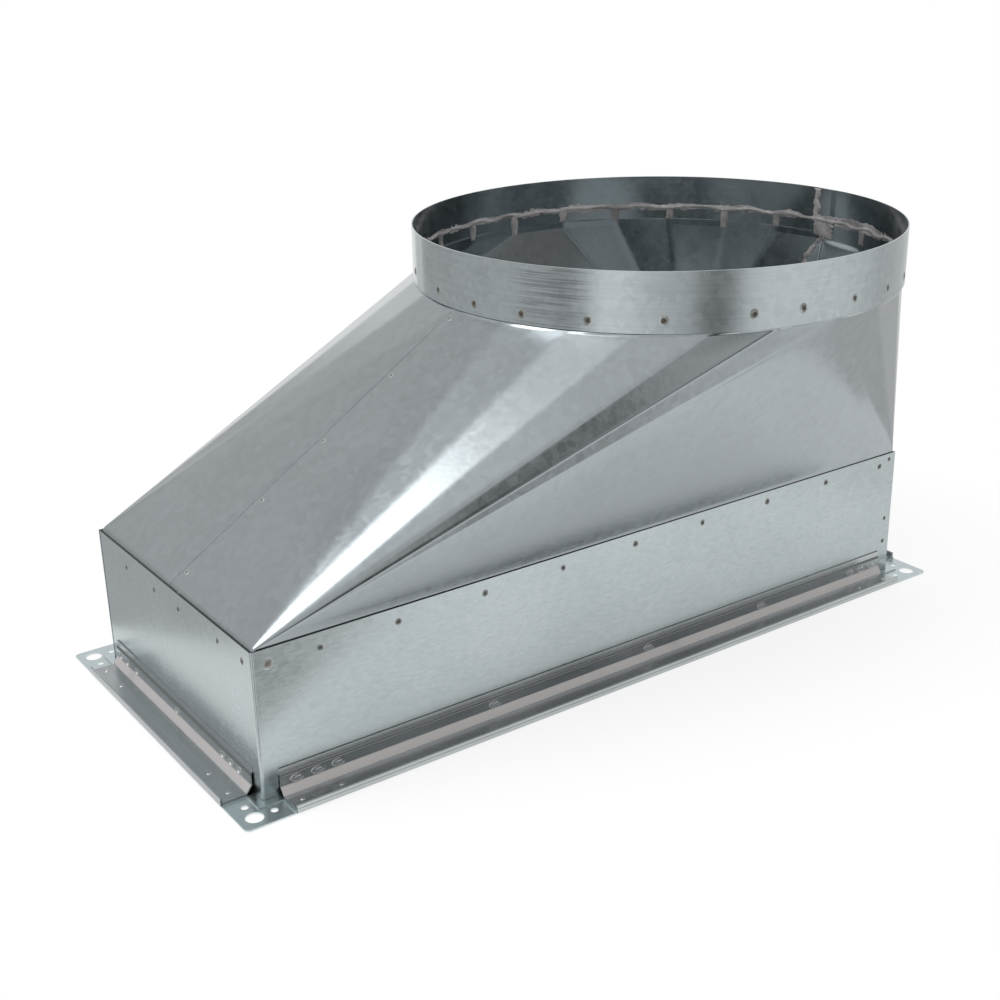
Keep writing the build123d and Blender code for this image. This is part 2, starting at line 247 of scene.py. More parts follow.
def folded_half(lap_at_start, lap_at_end, swell_run):
    """Front half: every level is a straight blend of the neck's rounded rectangle and the collar's chords,
    its folds are softened, then the skirt and the tabs' root are added below and above and their bends
    softened too. With a swell run, the facets' tops also swell out to the collar's circle over that run
    below the last fold."""
    foot_round = 0.0014
    fan_gap = 0.003
    lap_start, lap_width = 0.00045, 0.0107
    fold_setback, lap_setback = 0.0034, 0.0001
    facet_steps, flat_steps = 8, 32
    flat_bow, bow_power = 0.0022, 0.55
    flat_outward = [0, -0.914, -0.406]
    seam_half, seam_fade = 0.003, 0.005
    skirt_foot, root_height = 0.0843, 0.0042
    skirt_setback, root_setback = 0.0036, 0.0006
    tab_side, tab_side_at_lap = 0.00225, 0.0102
    tab_foot, tab_top = 0.2168, 0.2250
    flap_foot, flap_top = 0.0723, 0.0848
    flap_corner_relief, flap_seam_relief = 0.015, 0.006

    # Blend of the two outlines, level by level
    ring = np.stack([np.cos(folds), np.sin(folds), np.zeros(13)], axis=-1)
    centre = fold_foot - [foot_round, foot_round, 0]
    left_foot = centre * [-1, -1, 1] + foot_round * ring[:7]
    right_foot = centre * [1, -1, 1] + foot_round * ring[6:]
    ends = fold_foot * [[-1, 0, 1], [1, 0, 1]]
    foot = np.concatenate([ends[:1], left_foot, right_foot, ends[1:]])
    spread = np.zeros(16)
    spread[[1, 8]] = fan_gap
    spread[[7, 14]] = -fan_gap
    turn = folds[np.r_[0, 0:7, 6:13, 12]] + spread
    chord_ends = [tab_wall * np.cos(turn), tab_wall * np.sin(turn), np.full(16, fold_head)]
    top = collar_centre + np.stack(chord_ends, axis=-1)
    level = np.append(np.linspace(0, 0.90, 19), 1.0)[:, None, None]
    section = (1 - level) * foot + level * top

    # Joggled lap at an end seam
    step_in = body_sheet + sheet_gap
    for wanted, edge, inner in ((lap_at_start, 0, 1), (lap_at_end, -1, -2)):
        if wanted:
            seam = section[:, edge]
            side = seam - section[:, inner]
            width = np.linalg.norm(side, axis=-1, keepdims=True)
            side = side / width
            slope = seam[-1] - seam[0]
            inward = np.cross(side, slope / np.linalg.norm(slope))
            inward *= np.sign(inward @ (collar_centre - seam[0]))[:, None]
            start = seam - side * np.minimum(lap_start, 0.4 * width)
            step = start + inward * step_in
            stop = step + side * np.minimum(lap_width, 0.9 * width)
            extra = np.stack([start, step, stop], axis=1)
            section = section[:, 1:] if edge == 0 else section[:, :-1]
            parts = [extra[:, ::-1], section] if edge == 0 else [section, extra]
            section = np.concatenate(parts, axis=1)

    # Softened folds, with more columns on the front flat, which bows
    setback = np.full((section.shape[1] - 2, 1), fold_setback)
    setback[:2 * lap_at_start] = lap_setback
    setback[len(setback) - 2 * lap_at_end:] = lap_setback
    bend = 5
    levels = round_corners(section, setback, bend)
    front_flat = (7 + 2 * lap_at_start) * bend
    steps = np.ones(levels.shape[1] - 1, int)
    steps[::bend] = facet_steps
    steps[front_flat] = flat_steps
    before = np.repeat(np.arange(steps.size), steps)
    share = (np.arange(before.size) - np.repeat(np.cumsum(steps) - steps, steps)) / steps[before]
    before, share = np.append(before, steps.size - 1), np.append(share, 1.0)[:, None]
    levels = (1 - share) * levels[:, before] + share * levels[:, before + 1]
    flat = (before == front_flat)[:, None]
    bow = flat_bow * 4 * level * (1 - level) * (4 * share * (1 - share)) ** bow_power * flat
    levels = levels + bow * flat_outward

    # Tops of the facets, swelling to the circle
    rim = levels[-1]
    down = levels[-2] - rim
    down = down / np.linalg.norm(down, axis=-1, keepdims=True)
    out = (rim - collar_centre) * [1, 1, 0]
    radius = np.linalg.norm(out, axis=-1, keepdims=True)
    off_seam = np.clip((np.abs(rim[:, 1:2]) - seam_half) / seam_fade, 0, 1)
    swell = (tab_wall / radius - 1) * out * off_seam
    if swell_run > 0:
        rising = np.linspace(0, 1, 8)[:, None, None]
        swelling = rising * rising * (3 - 2 * rising) * swell
        levels = np.concatenate([levels[:-1], rim + swell_run * (1 - rising) * down + swelling])

    # Skirt below, root of the tabs above
    skirt = levels[:1] * [1, 1, 0] + [0, 0, skirt_foot]
    root = levels[-1:] + [0, 0, root_height]
    path = np.concatenate([skirt, levels, root]).swapaxes(0, 1)
    foot_bend = round_corners(path[:, :3], skirt_setback, 5)[:, :-1]
    head_bend = round_corners(path[:, -3:], root_setback, 4)[:, 1:]
    rows = np.concatenate([foot_bend, path[:, 2:-2], head_bend], axis=1)
    grids = sheet_of(rows.swapaxes(0, 1), body_sheet)

    # Tabs inside the collar, the last one short of the collar's lap
    room = np.full((2, 12), tab_side) / tab_wall
    room[1, -1] = tab_side_at_lap / tab_wall
    turn = np.linspace(folds[:-1] + room[0], folds[1:] - room[1], 9).T[:, None, :]
    height = np.array([tab_foot, tab_top])[:, None]
    round_x, round_y = collar_centre[0] + tab_wall * np.cos(turn), tab_wall * np.sin(turn)
    for tab in np.stack(np.broadcast_arrays(round_x, round_y, height), axis=-1):
        grids += sheet_of(tab, body_sheet)

    # Flaps inside the neck
    height = np.array([flap_foot, flap_top])[:, None]
    reach = fold_foot - [flap_corner_relief, flap_corner_relief, 0]
    span = np.linspace(-1, 1, 2)[None, :]
    front = np.stack(np.broadcast_arrays(reach[0] * span, -fold_foot[1], height), axis=-1)
    grids += sheet_of(front, body_sheet)
    for end in (-1, 1):
        run = np.linspace(-flap_seam_relief, -reach[1], 2)[::-end][None, ::-1]
        flap = np.stack(np.broadcast_arrays(end * fold_foot[0], run, height), axis=-1)
        grids += sheet_of(flap, body_sheet)
    return grids


body_finish = zinc_sheet(
    "body_zinc",
    dark=(0.37, 0.405, 0.42, 1.0),
    light=(0.455, 0.497, 0.515, 1.0),
    rolled=(330.0, 330.0, 330.0),
    dashes=0.15,
    spangle=0.0045,
    gloss=0.20,
    dents=0.0002,
    grain=0.000022,
    cloud=0.5,
    flaky=0.3,
)
front_grids = folded_half(lap_at_start=False, lap_at_end=True, swell_run=0.0044)
rear_grids = folded_half(lap_at_start=True, lap_at_end=False, swell_run=0.0)
rear_grids = [grid[:, ::-1] * [1, -1, 1] for grid in rear_grids]
for name, grids in (("front", front_grids), ("rear", rear_grids)):
    half = mesh_of("folded_half_" + name, grids, body_finish)
    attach(half, "root")
    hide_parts("transition_half_" + name)


# Round collar: one strip of the same sheet rolled to a ring, lapped on itself and pushed over the tabs.
# Rolling and handling leave fine scratches round it. In one band of its side they are painted dark, as a
# painted reflection of something dark that they mirror there.
collar_finish = zinc_sheet(
    "collar_zinc",
    dark=(0.41, 0.455, 0.47, 1.0),
    light=(0.54, 0.595, 0.615, 1.0),
    rolled=(14.0, 14.0, 1300.0),
    dashes=0.5,
    spangle=0.004,
    gloss=0.17,
    dents=0.00015,
    grain=0.00002,
)
collar_wall = 0.157


def scratches_with_painted_reflection(material):
    """Darkens fine scratch lines round the collar in one band of its side, as a painted dark reflection."""
    # painted reflection: the dark colour that the scratches mirror in this band
    painted_dark_reflection = (0.15, 0.17, 0.185, 1.0)
    dark_reflection_at = np.radians(207)
    band_edge, band_full = 0.1542, 0.1567
    tree = material.node_tree
    shader = tree.nodes["Principled BSDF"]
    colour = Shade(tree, shader.inputs["Base Color"].links[0].from_socket)
    place = colour.node("ShaderNodeTexCoord", output="Object")
    dark_reflection_side = (np.cos(dark_reflection_at), np.sin(dark_reflection_at), 0.0)
    inputs = {0: place, 1: dark_reflection_side}
    facing = colour.node("ShaderNodeVectorMath", {"operation": "DOT_PRODUCT"}, inputs, "Value")
    facing = facing - collar_centre[0] * dark_reflection_side[0]
    lines = noise(place, 1.0, 3.0, (22.0, 22.0, 1500.0)).ramp(0.44, 0.62)
    # painted dark reflection in the scratch lines, only in the band
    scratch_reflection = facing.ramp(band_edge, band_full) * lines * 0.5
    tree.links.new(scratch_reflection.mix(colour, painted_dark_reflection).socket, shader.inputs["Base Color"])


scratches_with_painted_reflection(collar_finish)
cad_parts["round_collar"].data.materials[0] = collar_finish


# Spot welds: marks about 4 mm across where the electrodes pressed the body to the neck and the collar to
# the tabs. The zinc is burnt off in the dent, so its middle is dark and its rim brown.
def weld_marks(name, centre, normal, size, finish):
    """Round marks: height over the radius is a raised rim round a shallow dent, turned about each normal."""
    rim_at, rim_width, rim_rise = 0.62, 0.16, 0.10
    sunk, crown = 0.01, 0.02
    tallness = 1.12
    centre, normal = np.broadcast_arrays(np.array(centre, float), np.array(normal, float))
    normal = normal / np.linalg.norm(normal, axis=-1, keepdims=True)
    across = np.cross([0.0, 0.0, 1.0], normal)
    across /= np.linalg.norm(across, axis=-1, keepdims=True)
    up = np.cross(normal, across)
    share = np.linspace(0.02, 1, 9)[:, None]
    turn = np.linspace(0, 2 * np.pi, 19)[None, :]
    rise = rim_rise * np.exp(-((share - rim_at) / rim_width) ** 2) - sunk + crown * (1 - share)
    rise = (rise + 0 * turn)[..., None]
    flat = np.stack([share * np.cos(turn), share * np.sin(turn)], axis=-1)
    size = np.broadcast_to(np.array(size, float), centre.shape[:1])
    grids = []
    for spot, side, rising, out, radius in zip(centre, across, up, normal, size):
        disc = flat[..., :1] * side + tallness * flat[..., 1:] * rising + rise * out
        grids.append(spot + radius * disc)
    marks = mesh_of(name, grids, finish, 80.0)
    points = np.empty(len(marks.data.vertices) * 3)
    marks.data.vertices.foreach_get("co", points)
    points = points.reshape(-1, 3)
    apart = np.linalg.norm(points[:, None, :] - centre[None, :, :], axis=-1)
    ring = (apart / size).min(axis=1)
    layer = marks.data.attributes.new("ring", "FLOAT", "POINT")
    layer.data.foreach_set("value", ring.astype(np.float32))
    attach(marks, "root")


def weld_finish(name, middle, rim):
    """Burnt spot: dark in the middle and zinc at the edge, by the distance kept with each point, which two
    noises break up into a blotch."""
    bare_zinc = (0.47, 0.52, 0.53, 1.0)
    material, tree, shader, start = finish_named(name)
    ring = start.node("ShaderNodeAttribute", {"attribute_name": "ring"}, output="Fac")
    place = start.node("ShaderNodeTexCoord", output="Object")
    speck = noise(place, 900.0)
    blotch = noise(place, 420.0)
    inner = (ring + (speck - 0.5) * 1.2).ramp(0.15, 0.7).mix(middle, rim)
    bare = (ring + (blotch - 0.5) * 1.1).ramp(0.55, 0.95)
    tree.links.new(bare.mix(inner, bare_zinc).socket, shader.inputs["Base Color"])
    tree.links.new(bare.socket, shader.inputs["Metallic"])
    tree.links.new((0.42 - 0.2 * bare).socket, shader.inputs["Roughness"])
    return material


burnt = weld_finish("weld_burnt", (0.030, 0.029, 0.027, 1.0), (0.15, 0.145, 0.135, 1.0))
front_x = np.array([-201.2, -153.7, -97.3, -42.7, 11.7, 65.3, 120.7, 174.0, 225.6]) / 1000
front_z = np.array([79.0, 79.5, 80.0, 80.3, 80.6, 81.0, 81.2, 81.4, 80.6]) / 1000
neck_half_x, neck_half_y = 0.24075, 0.1015
row = np.stack([front_x, np.full(9, -neck_half_y), front_z], axis=-1)
weld_marks("weld_marks_neck_front", row, (0, -1, 0), 0.0024, burnt)
weld_marks("weld_marks_neck_rear", row * [-1, -1, 1], (0, 1, 0), 0.0024, burnt)
end_y = np.array([60.5, 20.1, -13.0, -62.4, -91.2]) / 1000
end_z = np.array([77.5, 78.0, 78.6, 79.2, 79.4]) / 1000
row = np.stack([np.full(5, -neck_half_x), end_y, end_z], axis=-1)
weld_marks("weld_marks_neck_left", row, (-1, 0, 0), 0.0023, burnt)
weld_marks("weld_marks_neck_right", row * [-1, -1, 1], (1, 0, 0), 0.0023, burnt)
pale = weld_finish("weld_pale", (0.11, 0.104, 0.098, 1.0), (0.28, 0.272, 0.262, 1.0))
large = np.array([[-0.2315, -neck_half_y, 0.0795]])
weld_marks("weld_mark_corner_front", large, (0, -1, 0), 0.0038, pale)
weld_marks("weld_mark_corner_rear", large * [-1, -1, 1], (0, 1, 0), 0.0038, pale)
lap_z = np.array([0.0838, 0.0408, 0.0240])
lap_spots = np.stack([np.full(3, 0.235), np.full(3, -neck_half_y), lap_z], axis=-1)
weld_marks("weld_marks_lap_front", lap_spots, (0, -1, 0), 0.0018, burnt)
weld_marks("weld_marks_lap_rear", lap_spots * [-1, -1, 1], (0, 1, 0), 0.0018, burnt)
seen = [140.0, 156.2, 173.2, 187.0, 200.1, 215.1, 230.6, 249.2, 260.5, 275.1, 289.0]
hidden = [303.5, 318.0, 331.0, 347.0, 13.0, 28.5, 42.0, 58.0, 71.5, 84.5, 99.0, 114.0, 127.5]
turn = np.radians(np.array(seen + hidden))
out = np.stack([np.cos(turn), np.sin(turn), 0 * turn], axis=-1)
weld_height = 0.2208 + 0.0018 * np.sin(3.1 * turn)
spots = collar_centre + collar_wall * out + np.stack([0 * turn, 0 * turn, weld_height], axis=-1)
rusty = weld_finish("weld_rusty", (0.030, 0.027, 0.022, 1.0), (0.16, 0.145, 0.12, 1.0))
weld_marks("weld_marks_collar", spots, out, 0.0029, rusty)


# Seam welds: the two end seams of the body are held by small welds set along the edge of the lap.
# The electrode leaves a low bright bump beside the edge on the outside.
seam_share = np.array([0.05, 0.30, 0.51, 0.75, 0.965])[:, None]
for name, end in (("left", -1), ("right", 1)):
    low = fold_foot * [end, 0, 1]
    high = collar_centre + [end * tab_wall, 0, fold_head]
    slope = (high - low) / np.linalg.norm(high - low)
    outward = np.array([slope[2], 0, -slope[0]])
    outward *= np.sign(outward[0]) * end
    spots = low + seam_share * (high - low) + [0, end * 0.004, 0]
    weld_marks("weld_marks_seam_" + name, spots, outward, 0.0019, pale)


# Joint sealant: grey-brown duct sealant squeezed along the tab ends inside the collar and wiped by hand,
# so it fills the notches between the tabs, strays in thin smears and covers the edges of the collar's lap
# and of the body's two end seams.
sealant_draw = np.random.default_rng(11)


def wander(along, features, strength):
    """Smooth random curve along a bead: a sum of sines with seeded turns and sizes."""
    turn = sealant_draw.uniform(0, 2 * np.pi, features.size)
    size = sealant_draw.normal(0, 1, features.size) / np.sqrt(features.size)
    return strength * (size * np.sin(along[..., None] * features + turn)).sum(-1)


def skin_on(name, place, thickness, finish, keep=0.00003):
    """Closed skin of sealant on a surface: place gives the point for each thickness, the faces with no
    thickness are left out, and the back lies on the surface and meets the front where it thins out to
    nothing."""
    thickness = np.where(thickness > keep, thickness, 0.0)
    rows, columns = thickness.shape
    index = np.arange(rows * columns).reshape(rows, columns)
    corners = (index[:-1, :-1], index[:-1, 1:], index[1:, 1:], index[1:, :-1])
    quads = np.stack(corners, axis=-1).reshape(-1, 4)
    quads = quads[thickness.ravel()[quads].max(axis=1) > 0]
    points = np.concatenate([place(thickness).reshape(-1, 3), place(thickness * 0).reshape(-1, 3)])
    faces = np.concatenate([quads[:, ::-1], quads + rows * columns])
    used, faces = np.unique(faces, return_inverse=True)
    piece = mesh_from(name, points[used], faces.reshape(-1, 4), finish, 60.0)
    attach(piece, "root")
    return piece


def sealant_finish(name):
    """Dried sealant: pinkish grey with paler smears and rusty stains, matt with a slight skin."""
    dark_grey = (0.17, 0.163, 0.166, 1.0)
    pale_grey = (0.31, 0.298, 0.302, 1.0)
    rust = (0.20, 0.12, 0.075, 1.0)
    material, tree, shader, start = finish_named(name)
    place = start.node("ShaderNodeTexCoord", output="Object")
    patches = noise(place, 60.0, 3.0)
    fine = noise(place, 700.0, 2.0)
    colour = (patches + (fine - 0.5) * 0.3).ramp(0.35, 0.65).mix(dark_grey, pale_grey)
    stain = noise(place, 34.0, 2.0).ramp(0.66, 0.78) * 0.55
    colour = stain.mix(colour, rust)
    tree.links.new(colour.socket, shader.inputs["Base Color"])
    tree.links.new((0.24 + (patches - 0.5) * 0.3).socket, shader.inputs["Roughness"])
    bump = start.node("ShaderNodeBump", {}, {"Strength": 0.6, "Distance": 0.0002, "Height": fine}, "Normal")
    tree.links.new(bump.socket, shader.inputs["Normal"])
    return material


dried_sealant = sealant_finish("dried_sealant")
bore = 0.15620
turn = np.linspace(0, 2 * np.pi, 1801)[None, :]
rise = np.linspace(0.2110, 0.2475, 92)[:, None]
arc = (np.mod(turn + np.pi, 2 * np.pi) - np.pi) * bore
slow = np.arange(3, 40, 3.0)
quick = np.arange(40, 260, 13.0)

# Bead along the ends of the tabs
bead_thick = 0.0016
middle = 0.2263 + wander(turn, slow, 0.0006)
half_width = 0.0012 + wander(turn, slow, 0.0003) + wander(turn, quick, 0.0002)
bead = bead_thick * np.sqrt(np.clip(1 - ((rise - middle) / half_width) ** 2, 0, 1))

# Finger down each notch, with a groove where it sinks between two tabs
finger_thick, finger_fade = 0.0010, 0.0012
groove_deep, groove_half = 0.0006, 0.0011
notch = np.radians(15.0)
beside = (np.mod(turn + notch / 2, notch) - notch / 2) * bore
finger_foot = 0.2146 + wander(turn, np.arange(2, 24, 1.0), 0.0022)
finger_half = 0.0026 + wander(turn + 4 * rise, quick, 0.0003)
groove = groove_deep * np.exp(-(beside / groove_half) ** 2)
finger = finger_thick * np.clip(1 - (beside / finger_half) ** 6, 0, 1) - groove
finger = finger * np.clip((rise - finger_foot) / finger_fade, 0, 1) * (rise < middle)

# Thin smears above and below the bead, wider beside the lap, where it was wiped
smear_thick, smear_fade = 0.00022, 0.0006
wiped_at, wiped_half = -0.034, 0.026
wiped = np.exp(-((arc - wiped_at) / wiped_half) ** 2)
smear_up = 0.0017 + 0.0030 * wiped + wander(turn, slow, 0.0012) + wander(turn, quick, 0.0006)
smear_down = 0.0017 + 0.0014 * wiped + wander(turn, slow, 0.0010) + wander(turn, quick, 0.0006)
reach = np.where(rise > middle, smear_up, smear_down)
smear = smear_thick * np.clip((reach - np.abs(rise - middle)) / smear_fade, 0, 1)

# Pad across the collar's lap below the bead, with a slanting foot
pad_thick, pad_fade, pad_at = 0.0010, 0.0008, -0.0008
pad_foot, pad_slant, pad_foot_fade = 0.2142, 0.12, 0.001
pad_edge = 0.0088 + wander(rise * 260 + turn, np.arange(1, 9, 1.0), 0.0010)
pad = pad_thick * np.clip((pad_edge - np.abs(arc - pad_at)) / pad_fade, 0, 1)
pad = pad * np.clip((rise - pad_foot - pad_slant * arc) / pad_foot_fade, 0, 1) * (rise < middle)

# Line from the bead up the inner edge of the lap to just below the rim
line_thick, line_fade = 0.0012, 0.0008
line_top, line_below_bead = 0.2474, 0.001
line = 0.0070 + wander(rise * 300 + 0 * turn, np.arange(1, 7, 1.0), 0.0004)
line_half = 0.0026 + wander(rise * 420 + 0 * turn, np.arange(1, 9, 1.0), 0.0006)
lap_line = line_thick * np.sqrt(np.clip(1 - ((arc - line) / line_half) ** 2, 0, 1))
lap_line = lap_line * (rise > middle - line_below_bead) * np.clip((line_top - rise) / line_fade, 0, 1)
depth = np.max(np.stack(np.broadcast_arrays(bead, finger, smear, pad, lap_line)), axis=0)

# Wall that it lies on: the bore, stepped in by a sheet and its gap on the tabs and on the lap
step_in = 0.00085
tab_end, tab_fade = 0.2262, 0.0014
lap_edge, lap_edge_fade = 0.0062, 0.0004
lap_root, lap_joggle = -0.0102, 0.004
on_tabs = np.clip((tab_end - rise) / tab_fade, 0, 1) * step_in
on_lap = step_in * np.clip((lap_edge - arc) / lap_edge_fade, 0, 1)
on_lap = on_lap * np.clip((arc - lap_root) / lap_joggle, 0, 1)
wall = bore - np.maximum(on_tabs, on_lap)


def in_collar(thickness):
    """Point inside the collar: the wall's radius less the thickness, at its angle and height."""
    radius = wall - thickness
    x, y = collar_centre[0] + radius * np.cos(turn), radius * np.sin(turn)
    return np.stack(np.broadcast_arrays(x, y, rise), axis=-1)


collar_bead = skin_on("sealant_in_collar", in_collar, depth, dried_sealant)
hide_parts("collar_sealant", "collar_seam_sealant")

# Strips down the inner edges of the body's two end seams
strip_thick, strip_fade = 0.0013, 0.004
lap_reach, most_of_flat = 0.010, 0.9
lap_step, lap_step_past, lap_step_run = 0.00088, 0.0002, 0.0004
for name, end in (("right", 1), ("left", -1)):
    low = fold_foot * [[end, 0, 1], [end, end, 1], [end, end, 1]]
    rim = np.radians([0, 0, 15])
    rim_x, rim_y = end * tab_wall * np.cos(rim), end * tab_wall * np.sin(rim)
    high = collar_centre + np.stack([rim_x, rim_y, 0 * rim + fold_head], axis=-1)
    share = np.linspace(0.0, 1.0, 181)[:, None]
    across = np.linspace(-0.002, 0.018, 81)[None, :]
    seam, fold, next_fold = ((1 - share) * low[k] + share * high[k] for k in range(3))
    width = np.linalg.norm(fold - seam, axis=-1, keepdims=True)
    facet = next_fold - fold
    facet = facet / np.maximum(np.linalg.norm(facet, axis=-1, keepdims=True), 1e-9)
    slope = (high[0] - low[0]) / np.linalg.norm(high[0] - low[0])
    inward = np.array([-slope[2], 0, slope[0]])
    inward = inward * np.sign(inward[0]) * -end
    lap = np.minimum(lap_reach, most_of_flat * width)
    middle = lap + 0.0010 + wander(share * 9, np.arange(1, 9, 1.0), 0.0004)
    half_width = 0.0022 + wander(share * 14, np.arange(1, 14, 1.0), 0.0005)
    strip = strip_thick * np.sqrt(np.clip(1 - ((across - middle) / half_width) ** 2, 0, 1))
    strip = strip * np.clip(share / strip_fade, 0, 1)
    floor_in = body_sheet + lap_step * np.clip((lap + lap_step_past - across) / lap_step_run, 0, 1)

    def on_seam(thickness):
        """Point on the inside of an end seam: across the flat, on round the fold, and in by the sheets and
        the thickness."""
        on_flat = np.minimum(across, width)[..., None] * [0, end, 0]
        on_facet = np.maximum(across - width, 0)[..., None] * facet[:, None, :]
        return seam[:, None, :] + on_flat + on_facet + (floor_in + thickness)[..., None] * inward

    seam_bead = skin_on("sealant_on_seam_" + name, on_seam, strip, dried_sealant)
    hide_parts("body_seam_sealant_" + name)


# Flange corner plates: pressed from thicker plate with a blue-white electro-plated zinc, bright and
# smooth. Their raised arms are slid into the rails before the frame is pushed on the neck.
plate_finish = zinc_sheet(
    "corner_plate_zinc",
    dark=(0.58, 0.66, 0.675, 1.0),
    light=(0.70, 0.79, 0.81, 1.0),
    rolled=(160.0, 160.0, 160.0),
    dashes=0.3,
    spangle=0.002,
    gloss=0.30,
    dents=0.00015,
)
for corner in ("front_left", "front_right", "rear_left", "rear_right"):
    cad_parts["flange_corner_" + corner].data.materials[0] = plate_finish


# Flange rails: slide-on frame, roll formed from galvanised strip and cut to length, so its streaks run
# along it. The neck's bottom edge stands in each rail's slot. The sloping webs are painted paler as a
# painted sheen, and the step under the top strip and the hem's slit are darkened as painted shade.
def rail_zinc(name, dark, light, rolled):
    """Finish of a rail: streaks along it and hardly any spangle."""
    streaks = {"dashes": 0.6, "spangle": 0.003, "gloss": 0.24, "dents": 0.0001, "flaky": 0.08}
    return zinc_sheet(name, dark, light, rolled, **streaks)


# The long rails are painted lighter than the short ones, as painted light and shade: all four are the same
# strip.
long_rail_zinc_painted_lighter = rail_zinc(
    "rail_zinc_long_painted_lighter",
    dark=(0.50, 0.53, 0.54, 1.0),
    light=(0.62, 0.65, 0.66, 1.0),
    rolled=(12.0, 600.0, 600.0),
)
short_rail_zinc_painted_darker = rail_zinc(
    "rail_zinc_short_painted_darker",
    dark=(0.42, 0.45, 0.465, 1.0),
    light=(0.54, 0.57, 0.585, 1.0),
    rolled=(600.0, 12.0, 600.0),
)


def shade_and_sheen_on_rail(material):
    """Paints shade into the step below a rail's top strip and into the slit of its hem, and paints its
    sloping web paler, less metallic and rougher in patches, as a painted sheen."""
    # painted shade for the step and the slit, and the colour of the painted sheen on the web
    painted_shade = (0.10, 0.10, 0.10, 1.0)
    painted_sheen = (0.57, 0.543, 0.541, 1.0)
    hem_x, hem_y = 0.2578, 0.1186
    web_reach, web_end = 0.0050, 0.0056
    tree = material.node_tree
    shader = tree.nodes["Principled BSDF"]
    colour = Shade(tree, shader.inputs["Base Color"].links[0].from_socket)
    place = colour.node("ShaderNodeTexCoord", output="Object")
    split = tree.nodes.new("ShaderNodeSeparateXYZ")
    tree.links.new(place.socket, split.inputs[0])
    x, y, z = (Shade(tree, split.outputs[axis]) for axis in range(3))
    # painted shade along the step under the top strip and in the hem's slit
    step = z.ramp(0.0120, 0.0128) * (1.0 - z.ramp(0.0138, 0.0144)) * 0.7
    at_hem = x.math("MAXIMUM", abs(x) - hem_x, abs(y) - hem_y).ramp(0.0, 0.0006)
    slit = z.ramp(0.0026, 0.0030) * (1.0 - z.ramp(0.0031, 0.0035)) * at_hem * 0.6
    colour = step.math("MAXIMUM", step, slit).mix(colour, painted_shade)
    away = x.math("MAXIMUM", abs(x) - neck_half_x, abs(y) - neck_half_y)
    on_web = z.ramp(0.0026, 0.0030) * (1.0 - z.ramp(0.0066, 0.0073)) * (1.0 - away.ramp(web_reach, web_end))
    # painted sheen: pale, duller patches on the sloping web
    web_sheen = on_web * noise(place, 70.0, 3.0).ramp(0.0, 0.42)
    tree.links.new(web_sheen.mix(colour, painted_sheen).socket, shader.inputs["Base Color"])
    tree.links.new((1.0 - 0.6 * web_sheen).socket, shader.inputs["Metallic"])
    rough = Shade(tree, shader.inputs["Roughness"].links[0].from_socket) + 0.2 * web_sheen
    tree.links.new(rough.socket, shader.inputs["Roughness"])


shade_and_sheen_on_rail(long_rail_zinc_painted_lighter)
shade_and_sheen_on_rail(short_rail_zinc_painted_darker)
rail_finish = {"front": long_rail_zinc_painted_lighter, "rear": long_rail_zinc_painted_lighter, "left": short_rail_zinc_painted_darker, "right": short_rail_zinc_painted_darker}
for side, finish in rail_finish.items():
    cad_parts["flange_rail_" + side].data.materials[0] = finish


# Clinches: near each end and along each rail a round tool lances its leg into the neck's wall, which leaves
# an open ring with raised edges round a low button. Small dimples on the rail's floor grip the arms of the
# corner plates.
def clinch_rings(name, centre, along, out, finish):
    """Open rings: a low round ridge carried along an arc of three quarters of a turn, thin at both its
    ends, round a button whose height is a quarter ellipse over its radius."""
    ring_radius, ridge_half, sunk = 0.0034, 0.00055, 0.00003
    long_way, tall_way = 1.12, 0.62
    button_long, button_tall, button_high, button_sunk = 0.0023, 0.0012, 0.0004, 0.00002
    share = np.linspace(0, 1, 33)[:, None]
    turn = np.radians(70) + share * np.radians(275)
    ridge = np.linspace(0, np.pi, 9)[None, :]
    taper = np.sin(np.pi * np.clip(share * 0.96 + 0.02, 0, 1)) ** 0.35
    radius = ring_radius + ridge_half * np.cos(ridge) * taper
    lift = ridge_half * np.sin(ridge) * taper - sunk
    side = radius * np.cos(turn) * long_way
    rise = radius * np.sin(turn) * tall_way
    up = np.array([0.0, 0.0, 1.0])
    along, out = np.array(along, float), np.array(out, float)
    spread = np.linspace(0.02, 1, 5)[:, None]
    around = np.linspace(0, 2 * np.pi, 17)[None, :]
    button_side = button_long * spread * np.cos(around)
    button_rise = button_tall * spread * np.sin(around)
    button_lift = button_high * np.sqrt(1 - spread ** 2) - button_sunk
    button = np.broadcast_arrays(button_side, button_rise, button_lift)
    grids = []
    for right, high, proud in ((side, rise, lift), button):
        shape = right[..., None] * along + high[..., None] * up + proud[..., None] * out
        grids += [c + shape for c in centre]
    if np.cross(along, up) @ out < 0:
        grids = [g[:, ::-1] for g in grids]
    rings = mesh_of(name, grids, finish, 80.0)
    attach(rings, "root")


def dimples(name, centre, finish):
    """Small domes: a quarter ellipse's height over a disc's radius, on the rails' floors."""
    reach, height, sunk = 0.0014, 0.00045, 0.00002
    share = np.linspace(0.02, 1, 7)[:, None]
    turn = np.linspace(0, 2 * np.pi, 17)[None, :]
    dome = np.sqrt(1 - share ** 2) * height - sunk
    x, y = reach * share * np.cos(turn), reach * share * np.sin(turn)
    shape = np.stack(np.broadcast_arrays(x, y, dome), axis=-1)
    bumps = mesh_of(name, [c + shape for c in centre], finish, 80.0)
    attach(bumps, "root")


